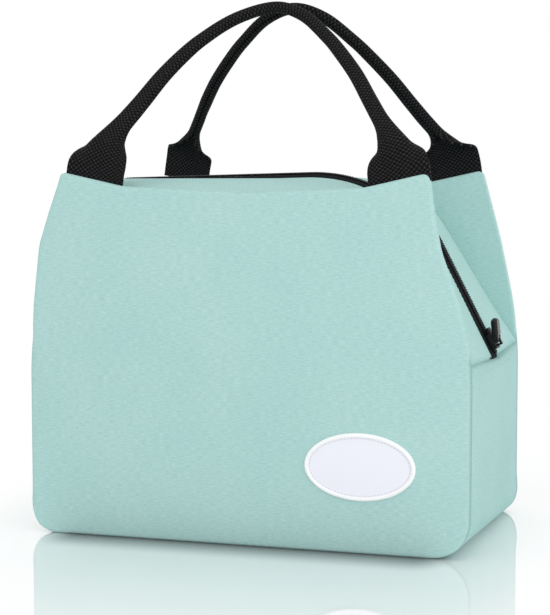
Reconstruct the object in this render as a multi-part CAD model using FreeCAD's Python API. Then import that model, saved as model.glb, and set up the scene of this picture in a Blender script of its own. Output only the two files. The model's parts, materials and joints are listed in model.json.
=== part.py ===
import FreeCAD, Part
import math
import os

# Soft insulated lunch bag with a zip over the top and two webbing handles, in millimetres.
# Origin: middle of the base, on the ground.  +Z up, front panel towards -Y, slider side towards +X.

# Bag body
bag_width = 260.0
bag_depth = 146.0
panel_height = 202.0
fold_height = 106.0
base_corner_radius = 22.0

# Ears: the upper corners of the front and back panels, folded double round the webbing ends
ear_lean = 22.5
ear_rise = 8.3
ear_margin = 1.25
side_bow = 3.5

# Roof: the zip gusset leans in at the sides, and rises from the panel seams to the zip
side_slant = 27.5
ridge_rise = 7.0
shoulder_radius = 54.0

# Wall layers and seams
cloth = 0.8
foam = 3.2
lining = 0.4
seam_allowance = 8.0
binding_height = 7.0
binding_thickness = 1.6
flap_gap = 0.4

# Zip chain
tape_half_width = 16.0
slot_half_width = 10.0
tape_thickness = 0.6
coil_inner = 0.9
coil_width = 2.5
coil_height = 1.4
coil_spine = 1.0
tooth_pitch = 4.0
tooth_gap = 1.6
first_tooth = 0.25
tooth_stagger = 0.5
zip_end_length = 17.0
zip_tail_length = 8.0
chain_gap = 0.5
zip_end_clearance = 0.4

# Slider and pull
slider_length = 13.0
slider_start = 2.0
slider_nose = 3.5
slider_clearance = 0.4
slider_side_clearance = 0.6
plate_thickness = 1.4
flange_width = 1.3
wedge_length = 5.0
bail_start = 3.0
bail_length = 5.0
bail_width = 2.6
bail_wire = 1.2
bail_opening = 2.0
pull_length = 18.0
pull_width = 10.0
pull_thickness = 3.6
pull_bar_radius = 0.8
pull_arm_width = 1.5
pull_neck = 4.6
pull_edge_bevel = 1.0
pull_lift = 20.0

# Webbing handles
webbing_width = 35.0
webbing_thickness = 1.8
webbing_sewn_depth = 18.0
webbing_stand = 3.4
webbing_edge = 0.6
handle_clearance = 0.8
handle_rise = 111.4
apex_radius = 42.0
apex_spacing = 16.0
grip_width = 8.8
grip_thickness = 6.6
grip_edge = 1.9
roll_length = 21.5
roll_shift = 7.75

# Oval badge on the front
badge_length = 63.0
badge_height = 38.0
badge_x = 68.8
badge_z = 49.0
badge_plate = 1.2
badge_rim_width = 2.2
badge_rim_rise = 0.6

# Places that follow from the sizes above
half_width = bag_width / 2
half_depth = bag_depth / 2
upper_start = fold_height + flap_gap
ear_width = webbing_width + 2 * ear_margin
ear_tip = (half_width - ear_lean, panel_height + ear_rise)
ear_root = (ear_tip[0] - ear_width, panel_height)
foam_face = -half_depth + cloth
lining_face = foam_face + foam
lining_inside = lining_face + lining
flange_inside = lining_face + cloth
lining_inset = cloth + foam
inner_inset = lining_inset + lining
coil_outer = coil_inner + coil_width
tape_inset = cloth + tape_thickness
slider_width = 2 * (coil_outer + slider_side_clearance + flange_width)
wedge_width = 2 * (coil_inner - slider_clearance)


def shoulder_corner(level):
    """Where the leaning side of the gusset would reach a level."""
    return half_width - (level - upper_start) * math.tan(math.radians(side_slant)), level


# Cross-sections of the gusset: foot, shoulder corner and corner radius of the right-hand half
side_foot = (half_width, upper_start)
base_section = ((half_width, fold_height), (half_width, 0.0), base_corner_radius)
seam_section = (side_foot, shoulder_corner(panel_height), shoulder_radius)
zip_section = (side_foot, shoulder_corner(panel_height + ridge_rise), shoulder_radius)


def point(x, y, z):
    return FreeCAD.Vector(x, y, z)


def half_path(section, inset):
    """Foot, run end, arc middle and arc end of a gusset section, moved inwards by the inset."""
    (foot_x, foot_z), (corner_x, corner_z), radius = section
    run_length = math.hypot(corner_x - foot_x, corner_z - foot_z)
    run_x = (corner_x - foot_x) / run_length
    run_z = (corner_z - foot_z) / run_length
    sign = 1 if run_z > 0 else -1
    normal_x = sign * run_z
    normal_z = -sign * run_x
    reach = normal_x * foot_x + normal_z * foot_z - inset
    level = corner_z - sign * inset
    corner = ((reach - normal_z * level) / normal_x, level)
    foot = ((reach - normal_z * foot_z) / normal_x, foot_z)
    bend = radius - inset
    tangent = bend * math.tan(math.acos(-run_x) / 2)
    run_end = (corner[0] - run_x * tangent, corner[1] - run_z * tangent)
    arc_end = (corner[0] - tangent, level)
    centre = (arc_end[0], level - sign * bend)
    to_corner = math.hypot(corner[0] - centre[0], corner[1] - centre[1])
    share = bend / to_corner
    middle = (centre[0] + share * (corner[0] - centre[0]), centre[1] + share * (corner[1] - centre[1]))
    return foot, run_end, middle, arc_end


def section_edges(section, inset, y):
    """The whole section from the right foot over the level to the left foot."""
    right = [point(x, y, z) for x, z in half_path(section, inset)]
    left = [point(-p.x, y, p.z) for p in right]
    return [
        Part.makeLine(right[0], right[1]),
        Part.Arc(right[1], right[2], right[3]).toShape(),
        Part.makeLine(right[3], left[3]),
        Part.Arc(left[3], left[2], left[1]).toShape(),
        Part.makeLine(left[1], left[0]),
    ]


def ring_wire(section, near, far, y):
    """Closed outline of one wall layer between two insets."""
    outer = section_edges(section, near, y)
    inner = section_edges(section, far, y)
    right_outer = outer[0].firstVertex().Point
    left_outer = outer[-1].lastVertex().Point
    right_inner = inner[0].firstVertex().Point
    left_inner = inner[-1].lastVertex().Point
    closing = [Part.makeLine(left_outer, left_inner), Part.makeLine(right_inner, right_outer)]
    return Part.Wire(outer + [closing[0]] + inner[::-1] + [closing[1]])


def layer(section, near, far, y0, y1):
    """A wall layer that runs straight from y0 to y1."""
    return Part.Face(ring_wire(section, near, far, y0)).extrude(point(0, y1 - y0, 0))


def roof_layer(near, far):
    """A zip gusset layer: its section at the panel seam, carried up to the edge of the zip."""
    lean = ridge_rise * math.tan(math.radians(side_slant))
    low_foot = (half_width + lean, upper_start - ridge_rise)
    wire = ring_wire((low_foot,) + seam_section[1:], near, far, flange_inside)
    swept = Part.Face(wire).extrude(point(-lean, -tape_half_width - flange_inside, ridge_rise))
    right = swept.common(box(0.0, bag_width, -bag_depth, 0.0, upper_start, 2 * panel_height))
    return right.fuse(right.mirror(point(0, 0, 0), point(1, 0, 0))).removeSplitter()


def plate(section, inset, y0, y1):
    """A flat piece that fills a section."""
    edges = section_edges(section, inset, y0)
    close = Part.makeLine(edges[-1].lastVertex().Point, edges[0].firstVertex().Point)
    return Part.Face(Part.Wire(edges + [close])).extrude(point(0, y1 - y0, 0))


def box(x0, x1, y0, y1, z0, z1):
    return Part.makeBox(x1 - x0, y1 - y0, z1 - z0, point(x0, y0, z0))


def to_back(shape):
    """The same piece on the back half of the bag."""
    return shape.mirror(point(0, 0, 0), point(0, 1, 0))


def along_zip(shape):
    """From zip coordinates (x up the right-hand run, z into the bag) to the bag's own."""
    placed = shape.copy()
    placed.rotate(point(0, 0, 0), point(0, 1, 0), -90.0 - side_slant)
    placed.translate(point(half_width, 0, upper_start))
    return placed


def panel_outline(drop, y):
    """Front panel above the fold, with its two ears; drop lengthens it below the fold."""
    rise = ear_tip[1] - upper_start
    lean = half_width - ear_tip[0]
    chord = math.hypot(lean, rise)
    bow_x = half_width - lean / 2 + side_bow * rise / chord
    bow_z = upper_start + rise / 2 + side_bow * lean / chord
    turns = [(half_width, upper_start - drop), (half_width, upper_start), (bow_x, bow_z), ear_tip, ear_root]
    right = [point(x, y, z) for x, z in turns]
    left = [point(-p.x, y, p.z) for p in right]
    edges = [
        Part.Arc(right[1], right[2], right[3]).toShape(),
        Part.makeLine(right[3], right[4]),
        Part.makeLine(right[4], left[4]),
        Part.makeLine(left[4], left[3]),
        Part.Arc(left[3], left[2], left[1]).toShape(),
    ]
    if drop > 0:
        edges.append(Part.makeLine(left[1], left[0]))
        edges.append(Part.makeLine(left[0], right[0]))
        edges.append(Part.makeLine(right[0], right[1]))
    else:
        edges.append(Part.makeLine(left[1], right[1]))
    return Part.Wire(edges)


def webbing_slots(y0, y1):
    """Room for the two sewn webbing ends at the top of the ears."""
    bottom = panel_height - webbing_sewn_depth
    top = ear_tip[1] + webbing_stand
    half = webbing_width / 2
    middle = ear_root[0] + ear_width / 2
    return [box(x - half, x + half, y0, y1, bottom, top) for x in (middle, -middle)]


def bevelled_section(centre, width, thickness, bevel, turn):
    """Bevelled rectangle of a handle, level across Y and turned about Y; bevel is (along, across)."""
    a = width / 2
    b = thickness / 2
    outline = []
    for su, sv in ((1, 1), (-1, 1), (-1, -1), (1, -1)):
        ends = [(su * a, sv * (b - bevel[1])), (su * (a - bevel[0]), sv * b)]
        outline += ends if su == sv else ends[::-1]
    corners = [centre + point(u * math.cos(turn), v, u * math.sin(turn)) for u, v in outline]
    return Part.makePolygon(corners + corners[:1])


def joined_outlines(lower, upper):
    """A solid between two level outlines whose sides are parallel, pair by pair."""
    low = [vertex.Point for vertex in lower.OrderedVertexes]
    high = [vertex.Point for vertex in upper.OrderedVertexes]
    faces = [Part.Face(lower), Part.Face(upper)]
    for index in range(len(low)):
        corners = [low[index - 1], low[index], high[index], high[index - 1]]
        faces.append(Part.Face(Part.makePolygon(corners + corners[:1])))
    return Part.Solid(Part.makeShell(faces))


# Lower half of the bag
def make_lower_panel():
    return plate(base_section, 0.0, -half_depth, foam_face)


def make_lower_foam():
    return plate(base_section, cloth, foam_face, lining_face)


def make_lower_lining():
    return plate(base_section, lining_inset, lining_face, lining_inside)


def make_lower_binding():
    depth = inner_inset + binding_height
    return layer(base_section, inner_inset, depth, lining_inside, lining_inside + binding_thickness)


def make_base_gusset():
    return layer(base_section, 0.0, cloth, foam_face, -foam_face)


def make_gusset_foam(zip_ends):
    return layer(base_section, cloth, lining_inset, lining_face, -lining_face).cut(zip_ends)


def make_gusset_lining():
    return layer(base_section, lining_inset, inner_inset, lining_inside, -lining_inside)


# Upper half: panel with folded ears, zip gusset and zip chain
def make_upper_panel():
    outside = Part.Face(panel_outline(0.0, -half_depth)).extrude(point(0, flange_inside + half_depth, 0))
    window = plate(seam_section, seam_allowance, lining_face, flange_inside)
    shell = outside.cut(make_panel_pocket()).cut(window)
    return shell.cut(Part.makeCompound(webbing_slots(foam_face, lining_face)))


def make_panel_pocket():
    outline = panel_outline(2 * cloth, foam_face)
    pocket = Part.Face(outline).makeOffset2D(-cloth, 2)
    below = box(-bag_width, bag_width, -bag_depth, 0.0, 0.0, upper_start)
    return pocket.extrude(point(0, foam, 0)).cut(below)


def make_upper_foam():
    return make_panel_pocket().cut(Part.makeCompound(webbing_slots(foam_face, lining_face)))


def make_upper_lining():
    return plate(seam_section, seam_allowance, lining_face, lining_inside)


def make_upper_binding(panel):
    depth = inner_inset + binding_height
    strip = layer(seam_section, inner_inset, depth, lining_inside, lining_inside + binding_thickness)
    return strip.cut(panel)


def make_zip_band():
    margin = layer(zip_section, 0.0, cloth, -tape_half_width, -slot_half_width)
    return roof_layer(0.0, cloth).fuse(margin).removeSplitter()


def make_band_foam():
    return roof_layer(cloth, lining_inset)


def make_band_lining():
    return roof_layer(lining_inset, inner_inset)


def zip_run(near, far, y0, y1):
    """Zip layer over the arch, clear of the sewn-down end on the right-hand run."""
    start = zip_end_length + chain_gap
    end_block = along_zip(box(-bag_width, start, -bag_depth, bag_depth, -bag_depth, bag_depth))
    other_end = end_block.mirror(point(0, 0, 0), point(1, 0, 0))
    return layer(zip_section, near, far, y0, y1).cut(end_block).cut(other_end)


def make_zip_tape():
    return zip_run(cloth, tape_inset, -tape_half_width, -coil_inner)


def make_zip_coil(shift):
    """One half of the coil: a spine with teeth towards the middle; shift moves them, in pitches."""
    coil = zip_run(cloth - coil_height, cloth, -coil_outer, -coil_inner)
    line = Part.Wire(section_edges(zip_section, cloth, 0.0))
    count = int(line.Length / tooth_pitch)
    places = [edge_point(line, (index + shift) * line.Length / count) for index in range(count)]
    gap = box(-tooth_gap / 2, tooth_gap / 2, coil_spine - coil_outer, 0.0, -coil_height, 2 * coil_height)
    gaps = []
    for place, along in places:
        notch = gap.copy()
        notch.rotate(point(0, 0, 0), point(0, 1, 0), -math.degrees(math.atan2(along.z, along.x)))
        notch.translate(place)
        gaps.append(notch)
    return coil.cut(Part.makeCompound(gaps))


def edge_point(line, distance):
    """Place and direction at a distance along a line of edges."""
    for edge in line.OrderedEdges:
        if distance <= edge.Length:
            break
        distance -= edge.Length
    parameter = edge.getParameterByLength(distance)
    return edge.valueAt(parameter), edge.tangentAt(parameter)


def make_zip_end():
    """Closed end of the zip on the right: tape and coil halves, with a tail sewn behind the gusset."""
    edge = slot_half_width - zip_end_clearance
    halves = []
    for side in (-1, 1):
        y0, y1 = sorted((side * edge, side * coil_inner))
        c0, c1 = sorted((side * coil_outer, side * coil_inner))
        tail = box(half_width - tape_inset, half_width - cloth, y0, y1, fold_height - zip_tail_length,
                   upper_start)
        tape = along_zip(box(0.0, zip_end_length, y0, y1, cloth, tape_inset))
        coil = along_zip(box(0.0, zip_end_length, c0, c1, cloth - coil_height, cloth))
        halves.append(tail.fuse([tape, coil]).removeSplitter())
    return Part.makeCompound(halves)


# Slider and pull
def make_slider():
    half = slider_width / 2
    end = slider_start + slider_length
    top_inside = cloth - coil_height - slider_clearance
    top_outside = top_inside - plate_thickness
    bottom_inside = tape_inset + slider_clearance
    bottom_outside = bottom_inside + plate_thickness
    plates = []
    for z0, z1 in ((top_outside, top_inside), (bottom_inside, bottom_outside)):
        outline = [(slider_start, -half), (end - slider_nose, -half), (end, -slider_nose),
                   (end, slider_nose), (end - slider_nose, half), (slider_start, half)]
        corners = [point(x, y, z0) for x, y in outline]
        plates.append(Part.Face(Part.makePolygon(corners + corners[:1])).extrude(point(0, 0, z1 - z0)))
    lip = cloth - slider_clearance
    for side in (-1, 1):
        y0, y1 = sorted((side * half, side * (half - flange_width)))
        plates.append(box(slider_start, end - slider_nose, y0, y1, top_inside, lip))
    wedge = box(slider_start, slider_start + wedge_length, -wedge_width / 2, wedge_width / 2,
                top_inside, bottom_inside)
    bail_height = bail_opening + bail_wire
    bail_end = bail_start + bail_length
    bail = box(bail_start, bail_end, -bail_width / 2, bail_width / 2,
               top_outside - bail_height, top_outside)
    eye = box(bail_start + bail_wire, bail_end - bail_wire, -bail_width,
              bail_width, top_outside - bail_opening, top_outside)
    whole = plates[0].fuse(plates[1:] + [wedge, bail.cut(eye)])
    return along_zip(whole.removeSplitter())


def pull_pivot():
    """Where the pull's bar turns under the bail, in zip coordinates: up the run, and depth."""
    top_outside = cloth - coil_height - slider_clearance - plate_thickness
    along = bail_start + bail_length - bail_wire - bail_opening / 2
    return along, top_outside - bail_opening / 2


def make_pull():
    along, depth = pull_pivot()
    half = pull_width / 2
    arm_inner = bail_width / 2 + slider_clearance
    arm_outer = arm_inner + pull_arm_width
    bar = Part.makeCylinder(pull_bar_radius, 2 * arm_outer, point(0, -arm_outer, 0), point(0, 1, 0))
    arms = []
    for side in (-1, 1):
        y0, y1 = sorted((side * arm_inner, side * arm_outer))
        arms.append(box(0.0, pull_neck + pull_edge_bevel, y0, y1, -pull_bar_radius, pull_bar_radius))
    straight_end = pull_length - half
    neck = [point(pull_neck, side * half, 0) for side in (-1, 1)]
    shoulder = [point(straight_end, side * half, 0) for side in (-1, 1)]
    outline = Part.Wire([
        Part.makeLine(neck[0], shoulder[0]),
        Part.Arc(shoulder[0], point(pull_length, 0, 0), shoulder[1]).toShape(),
        Part.makeLine(shoulder[1], neck[1]),
        Part.makeLine(neck[1], neck[0]),
    ])
    paddle = Part.Face(outline).extrude(point(0, 0, pull_thickness))
    paddle.translate(point(0, 0, -pull_thickness / 2))
    paddle = paddle.makeChamfer(pull_edge_bevel, paddle.Edges)
    pull = paddle.fuse([bar] + arms).removeSplitter()
    pull.rotate(point(0, 0, 0), point(0, 1, 0), pull_lift)
    pull.translate(point(along, 0, depth))
    return along_zip(pull)


# Handles
def handle_pivot():
    """Line along X where the webbing bends above the ears: y and z."""
    return (foam_face + foam / 2, ear_tip[1] + webbing_stand + webbing_thickness / 2 + handle_clearance)


def make_handle_ends():
    y0 = foam_face + (foam - webbing_thickness) / 2
    return Part.makeCompound(webbing_slots(y0, y0 + webbing_thickness))


def make_handle():
    """Both flat ends drawn in to a narrow grip, which runs over the top in one bend."""
    base_x = ear_root[0] + ear_width / 2
    roll = point(base_x - roll_shift, 0, roll_length)
    centre = point(0, 0, handle_rise - apex_radius)
    to_roll = roll - centre
    heading = math.atan2(to_roll.z, to_roll.x) + math.acos(apex_radius / to_roll.Length)
    touch = centre + point(math.cos(heading), 0, math.sin(heading)) * apex_radius
    foot = roll - (touch - roll).normalize() * grip_width
    section = bevelled_section(foot, grip_width, grip_thickness, (grip_edge, grip_edge), heading)
    top_section = Part.Face(section)
    top_section.translate(touch - foot)
    below_roll = box(-bag_width, bag_width, -bag_depth, bag_depth, -bag_width, roll_length)
    straight = Part.Face(section).extrude(touch - foot).cut(below_roll)
    bend = top_section.revolve(centre, point(0, 1, 0), 2 * math.degrees(heading) - 180.0)
    widening = 1 / math.cos(heading)
    flat = bevelled_section(point(base_x, 0, 0), webbing_width, webbing_thickness,
                            (webbing_edge * widening, webbing_edge), 0.0)
    drawn_in = bevelled_section(roll, grip_width * widening, grip_thickness,
                                (grip_edge * widening, grip_edge), 0.0)
    side = straight.fuse(joined_outlines(flat, drawn_in))
    handle = side.fuse([bend, side.mirror(point(0, 0, 0), point(1, 0, 0))]).removeSplitter()
    pivot_y, pivot_z = handle_pivot()
    tilt = math.asin((-pivot_y - apex_spacing / 2) / handle_rise)
    handle.rotate(point(0, 0, 0), point(1, 0, 0), -math.degrees(tilt))
    handle.translate(point(0, pivot_y, pivot_z))
    return handle


# Badge
def ellipse_plate(length, height, y0, y1):
    curve = Part.Ellipse(point(0, 0, 0), length / 2, height / 2).toShape()
    face = Part.Face(Part.Wire(curve))
    solid = face.extrude(point(0, 0, y1 - y0))
    solid.rotate(point(0, 0, 0), point(1, 0, 0), 90.0)
    solid.translate(point(badge_x, y1, badge_z))
    return solid


def make_badge():
    back = -half_depth
    face = back - badge_plate
    rim = ellipse_plate(badge_length, badge_height, face - badge_rim_rise, back)
    dish = ellipse_plate(badge_length - 2 * badge_rim_width, badge_height - 2 * badge_rim_width,
                         face - badge_rim_rise, face)
    return rim.cut(dish)


def build():
    right_end = make_zip_end()
    left_end = right_end.mirror(point(0, 0, 0), point(1, 0, 0))
    ends = Part.makeCompound([right_end, left_end])
    pieces = {
        "base_gusset": make_base_gusset(),
        "gusset_foam": make_gusset_foam(ends),
        "gusset_lining": make_gusset_lining(),
        "zip_end_right": right_end,
        "zip_end_left": left_end,
        "zip_slider": make_slider(),
        "zip_pull": make_pull(),
        "badge": make_badge(),
    }
    upper_panel = make_upper_panel()
    paired = {
        "panel_lower": make_lower_panel(),
        "foam_lower": make_lower_foam(),
        "lining_lower": make_lower_lining(),
        "binding_lower": make_lower_binding(),
        "panel_upper": upper_panel,
        "foam_upper": make_upper_foam(),
        "lining_upper": make_upper_lining(),
        "binding_upper": make_upper_binding(upper_panel),
        "zip_band": make_zip_band(),
        "band_foam": make_band_foam(),
        "band_lining": make_band_lining(),
        "zip_tape": make_zip_tape(),
        "handle_ends": make_handle_ends(),
        "handle": make_handle(),
    }
    for name, shape in paired.items():
        pieces["front_" + name] = shape
        pieces["back_" + name] = to_back(shape)
    pieces["front_zip_coil"] = make_zip_coil(first_tooth)
    pieces["back_zip_coil"] = to_back(make_zip_coil(first_tooth + tooth_stagger))
    return pieces


os.makedirs("parts", exist_ok=True)
for name, shape in build().items():
    shape.exportStep("parts/" + name + ".step")
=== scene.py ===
import json
import math

import bmesh
import bpy
import numpy as np
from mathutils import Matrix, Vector


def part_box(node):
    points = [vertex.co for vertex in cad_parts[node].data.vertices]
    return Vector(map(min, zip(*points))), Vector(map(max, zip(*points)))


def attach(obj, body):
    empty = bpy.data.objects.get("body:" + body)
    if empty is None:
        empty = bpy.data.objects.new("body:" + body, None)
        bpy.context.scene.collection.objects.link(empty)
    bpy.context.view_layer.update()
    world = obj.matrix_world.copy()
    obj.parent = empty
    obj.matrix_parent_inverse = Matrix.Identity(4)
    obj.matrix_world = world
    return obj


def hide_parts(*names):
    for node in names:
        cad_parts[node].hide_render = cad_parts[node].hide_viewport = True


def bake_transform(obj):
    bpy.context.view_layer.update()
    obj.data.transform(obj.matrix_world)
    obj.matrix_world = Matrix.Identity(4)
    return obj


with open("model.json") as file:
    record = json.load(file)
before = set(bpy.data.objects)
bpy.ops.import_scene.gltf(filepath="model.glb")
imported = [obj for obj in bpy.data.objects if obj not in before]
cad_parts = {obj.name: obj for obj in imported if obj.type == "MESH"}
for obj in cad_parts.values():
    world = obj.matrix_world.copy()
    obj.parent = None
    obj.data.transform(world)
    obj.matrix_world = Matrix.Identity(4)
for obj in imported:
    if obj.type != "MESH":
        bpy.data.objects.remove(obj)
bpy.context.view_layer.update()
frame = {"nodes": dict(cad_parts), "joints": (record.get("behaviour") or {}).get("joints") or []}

mm = 0.001
scene = bpy.context.scene
joints = {joint["name"]: joint for joint in frame["joints"]}

# places that the frame gives, in metres
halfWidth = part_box("base_gusset")[1].x
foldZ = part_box("front_panel_upper")[0].z
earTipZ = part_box("front_panel_upper")[1].z
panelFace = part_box("front_panel_lower")[0].y
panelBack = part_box("front_panel_upper")[1].y
bandRise = 9.4 * mm  # from the panels' top seam up to the bands' top
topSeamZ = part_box("front_band_foam")[1].z - bandRise
zipAxis = Vector(joints["zip_slide"]["axis"])
handleY, handleZ = joints["front_handle_swing"]["pos_m"][1:]
badgeLow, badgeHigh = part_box("badge")
badgeMiddle, badgeReach = (badgeLow + badgeHigh) / 2, (badgeHigh - badgeLow) / 2

cornerRadius = 22 * mm  # of the bag's bottom corners
bagMiddle = (0, 120 * mm)  # x and z of a place well inside
sides = (("front", 1), ("back", -1))


class Wire:
    # one socket of a shader tree, with arithmetic
    def __init__(self, tree, socket=None):
        self.tree = tree
        self.socket = socket

    def node(self, kind, settings=None, inputs=None, output=0):
        made = self.tree.nodes.new(kind)
        for name, value in (settings or {}).items():
            setattr(made, name, value)
        for name, value in (inputs or {}).items():
            if isinstance(value, Wire):
                self.tree.links.new(value.socket, made.inputs[name])
            else:
                made.inputs[name].default_value = value
        return Wire(self.tree, made.outputs[output])

    def maths(self, operation, other=0.0):
        return self.node("ShaderNodeMath", {"operation": operation}, {0: self, 1: other})

    def __add__(self, other):
        return self.maths("ADD", other)

    def __sub__(self, other):
        return self.maths("SUBTRACT", other)

    def __rsub__(self, other):
        return self * -1.0 + other

    def __mul__(self, other):
        return self.maths("MULTIPLY", other)

    __radd__ = __add__
    __rmul__ = __mul__


constantSockets = {"colour": "Base Color", "roughness": "Roughness", "metal": "Metallic",
                   "shine": "Specular IOR Level", "coat": "Coat Weight", "coatRoughness": "Coat Roughness",
                   "glow": "Emission Strength"}


def newMaterial(name, look):
    # a Principled material with the look's constants; returns it and its shader's wire
    material = bpy.data.materials.new(name)
    material.use_nodes = True
    shader = material.node_tree.nodes["Principled BSDF"]
    for key, socket in constantSockets.items():
        if key in look:
            shader.inputs[socket].default_value = look[key]
    return material, Wire(material.node_tree, shader.outputs[0])


def feed(shader, socket, wire):
    wire.tree.links.new(wire.socket, shader.socket.node.inputs[socket])


def coordinates(shader, kind):
    place = shader.node("ShaderNodeTexCoord", output=kind)
    return [shader.node("ShaderNodeSeparateXYZ", None, {0: place}, axis) for axis in "XY"]


def noiseAt(x, y, width, height, detail=2.0, roughness=0.55):
    place = x.node("ShaderNodeCombineXYZ", None, {"X": x * (1 / width), "Y": y * (1 / height)})
    return x.node("ShaderNodeTexNoise", {"noise_dimensions": "2D"},
                  {"Vector": place, "Scale": 1.0, "Detail": detail, "Roughness": roughness})


def crossedWaves(x, y, pitchX, pitchY):
    # a sine across times a sine along, as the crowns of a plain weave lie
    return (x * (2 * math.pi / pitchX)).maths("SINE") * (y * (2 * math.pi / pitchY)).maths("SINE")


def mixColours(factor, first, second):
    return factor.node("ShaderNodeMix", {"data_type": "RGBA"}, {0: factor, 6: first, 7: second}, 2)


def bumped(shader, height, look):
    inputs = {"Strength": look["bump"], "Distance": look["depth"], "Height": height}
    feed(shader, "Normal", shader.node("ShaderNodeBump", None, inputs))


# Finishes; the cloths' UV maps are in metres, x along the weft and y along the warp

# the seam colour is painted shade: the cloth darkens towards it along its seams, where the grooves lie in
# shade
clothFinish = {
    "shade": (0.362, 0.600, 0.574, 1), "light": (0.488, 0.712, 0.692, 1), "seam": (0.12, 0.26, 0.245, 1),
    "seamDepth": 0.42, "seamWidth": 1.4 * mm, "threadPitch": 0.62 * mm, "mottleSize": 45 * mm,
    "slubLength": 3.8 * mm, "slubThickness": 0.55 * mm, "warpLength": 3.04 * mm,
    "tone": {"slub": 1.7, "warp": 0.7, "mottle": 0.3, "weave": 0.07},
    "height": {"slub": 1.4, "warp": 0.9, "weave": 0.5},
    "bump": 0.32, "depth": 0.16 * mm, "roughness": 0.9, "shine": 0.08,
}


def makeCloth(look=clothFinish):
    tone, height = look["tone"], look["height"]
    material, shader = newMaterial("mintCloth", look)
    x, y = coordinates(shader, "UV")
    slub = noiseAt(x, y, look["slubLength"], look["slubThickness"])
    warp = noiseAt(x, y, look["slubThickness"], look["warpLength"])
    mottle = noiseAt(x, y, look["mottleSize"], look["mottleSize"], 1.0)
    weave = crossedWaves(x, y, look["threadPitch"], look["threadPitch"])
    lightness = (0.5 + (slub - 0.5) * tone["slub"] + (warp - 0.5) * tone["warp"]
                 + (mottle - 0.5) * tone["mottle"] + weave * tone["weave"])
    colour = mixColours(lightness, look["shade"], look["light"])
    # painted shade along the seams, where the seamShade attribute is high
    seam = shader.node("ShaderNodeAttribute", {"attribute_name": "seamShade"}, output="Fac")
    feed(shader, "Base Color", mixColours(seam * look["seamDepth"], colour, look["seam"]))
    bumped(shader, weave * height["weave"] + slub * height["slub"] + warp * height["warp"], look)
    return material


# the crown colours are painted highlights on the yarn crowns
wovenLook = {"wanderSize": 4 * mm, "wander": 0.3, "wearSize": 2 * mm, "bareTone": 0.2, "wearTone": 1.2,
             "roughness": 0.82, "crownPolish": 0.22, "bump": 0.75, "shine": 0.10}
webbingFinish = {**wovenLook, "dark": (0.0015, 0.0015, 0.0018, 1), "crown": (0.046, 0.046, 0.049, 1),
                 "pickWidth": 2.9 * mm, "pickLength": 2.3 * mm, "depth": 0.34 * mm}
tapeFinish = {**wovenLook, "dark": (0.006, 0.0075, 0.0085, 1), "crown": (0.026, 0.031, 0.034, 1),
              "pickWidth": 1.0 * mm, "pickLength": 0.8 * mm, "depth": 0.16 * mm}
bindingFinish = {**tapeFinish, "dark": (0.05, 0.052, 0.055, 1), "crown": (0.13, 0.135, 0.14, 1)}


def makeWoven(name, look):
    # staggered yarn crowns, as on webbing and zip tape; the crown colour is a painted highlight, brighter in
    # scattered patches
    material, shader = newMaterial(name, look)
    x, y = coordinates(shader, "UV")
    width = look["pickWidth"]
    wander = noiseAt(x, y, look["wanderSize"], look["wanderSize"]) * (look["wander"] * width)
    crown = 0.5 + crossedWaves(x + wander, y + wander, width, look["pickLength"]) * 0.5
    sheenPatches = look["bareTone"] + noiseAt(x, y, look["wearSize"], look["wearSize"]) * look["wearTone"]
    feed(shader, "Base Color", mixColours(crown * crown * crown * sheenPatches, look["dark"], look["crown"]))
    feed(shader, "Roughness", look["roughness"] - crown * look["crownPolish"])
    bumped(shader, crown, look)
    return material


filmFinish = {"colour": (0.72, 0.73, 0.75, 1), "metal": 0.85, "creaseSize": 14 * mm, "creaseDetail": 5.0,
              "quiltPitch": 9 * mm, "roughness": 0.24, "spread": 0.22, "creaseHeight": 2.0,
              "quiltHeight": 0.25, "bump": 0.5, "depth": 0.9 * mm}


def makeFilm(look=filmFinish):
    # crinkled metallised film of the lining
    material, shader = newMaterial("liningFilm", look)
    x, y = coordinates(shader, "UV")
    crease = noiseAt(x, y, look["creaseSize"], look["creaseSize"], look["creaseDetail"])
    quilt = crossedWaves(x, y, look["quiltPitch"], look["quiltPitch"])
    feed(shader, "Roughness", look["roughness"] + crease * look["spread"])
    bumped(shader, crease * look["creaseHeight"] + quilt * look["quiltHeight"], look)
    return material


hardBlack = {"dark": (0.004, 0.004, 0.005, 1), "light": (0.014, 0.014, 0.016, 1), "grain": 900.0,
             "detail": 3.0, "spread": 0.16, "bump": 0.06, "depth": 0.1 * mm, "coatRoughness": 0.06}
coilFinish = {**hardBlack, "roughness": 0.36, "shine": 0.22}
sliderFinish = {**hardBlack, "roughness": 0.34, "shine": 0.12}
pullFinish = {**hardBlack, "roughness": 0.18, "shine": 0.16, "coat": 0.06}
threadLook = {"grain": 2600.0, "detail": 2.0, "roughness": 0.7, "spread": 0.0, "shine": 0.25, "bump": 0.3,
              "depth": 0.1 * mm}
mintThreadFinish = {**threadLook, "dark": (0.33, 0.58, 0.545, 1), "light": (0.45, 0.70, 0.665, 1)}
greyThreadFinish = {**threadLook, "dark": (0.44, 0.42, 0.46, 1), "light": (0.60, 0.58, 0.62, 1)}


badgeFinish = {"dark": (0.86, 0.865, 0.945, 1), "light": (0.94, 0.945, 0.955, 1), "rimWidth": 2.3 * mm,
               "grain": 2400.0, "detail": 2.0, "roughness": 0.30, "spread": 0.22, "bump": 0.12,
               "depth": 0.06 * mm, "shine": 0.45, "coat": 0.12}


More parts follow.
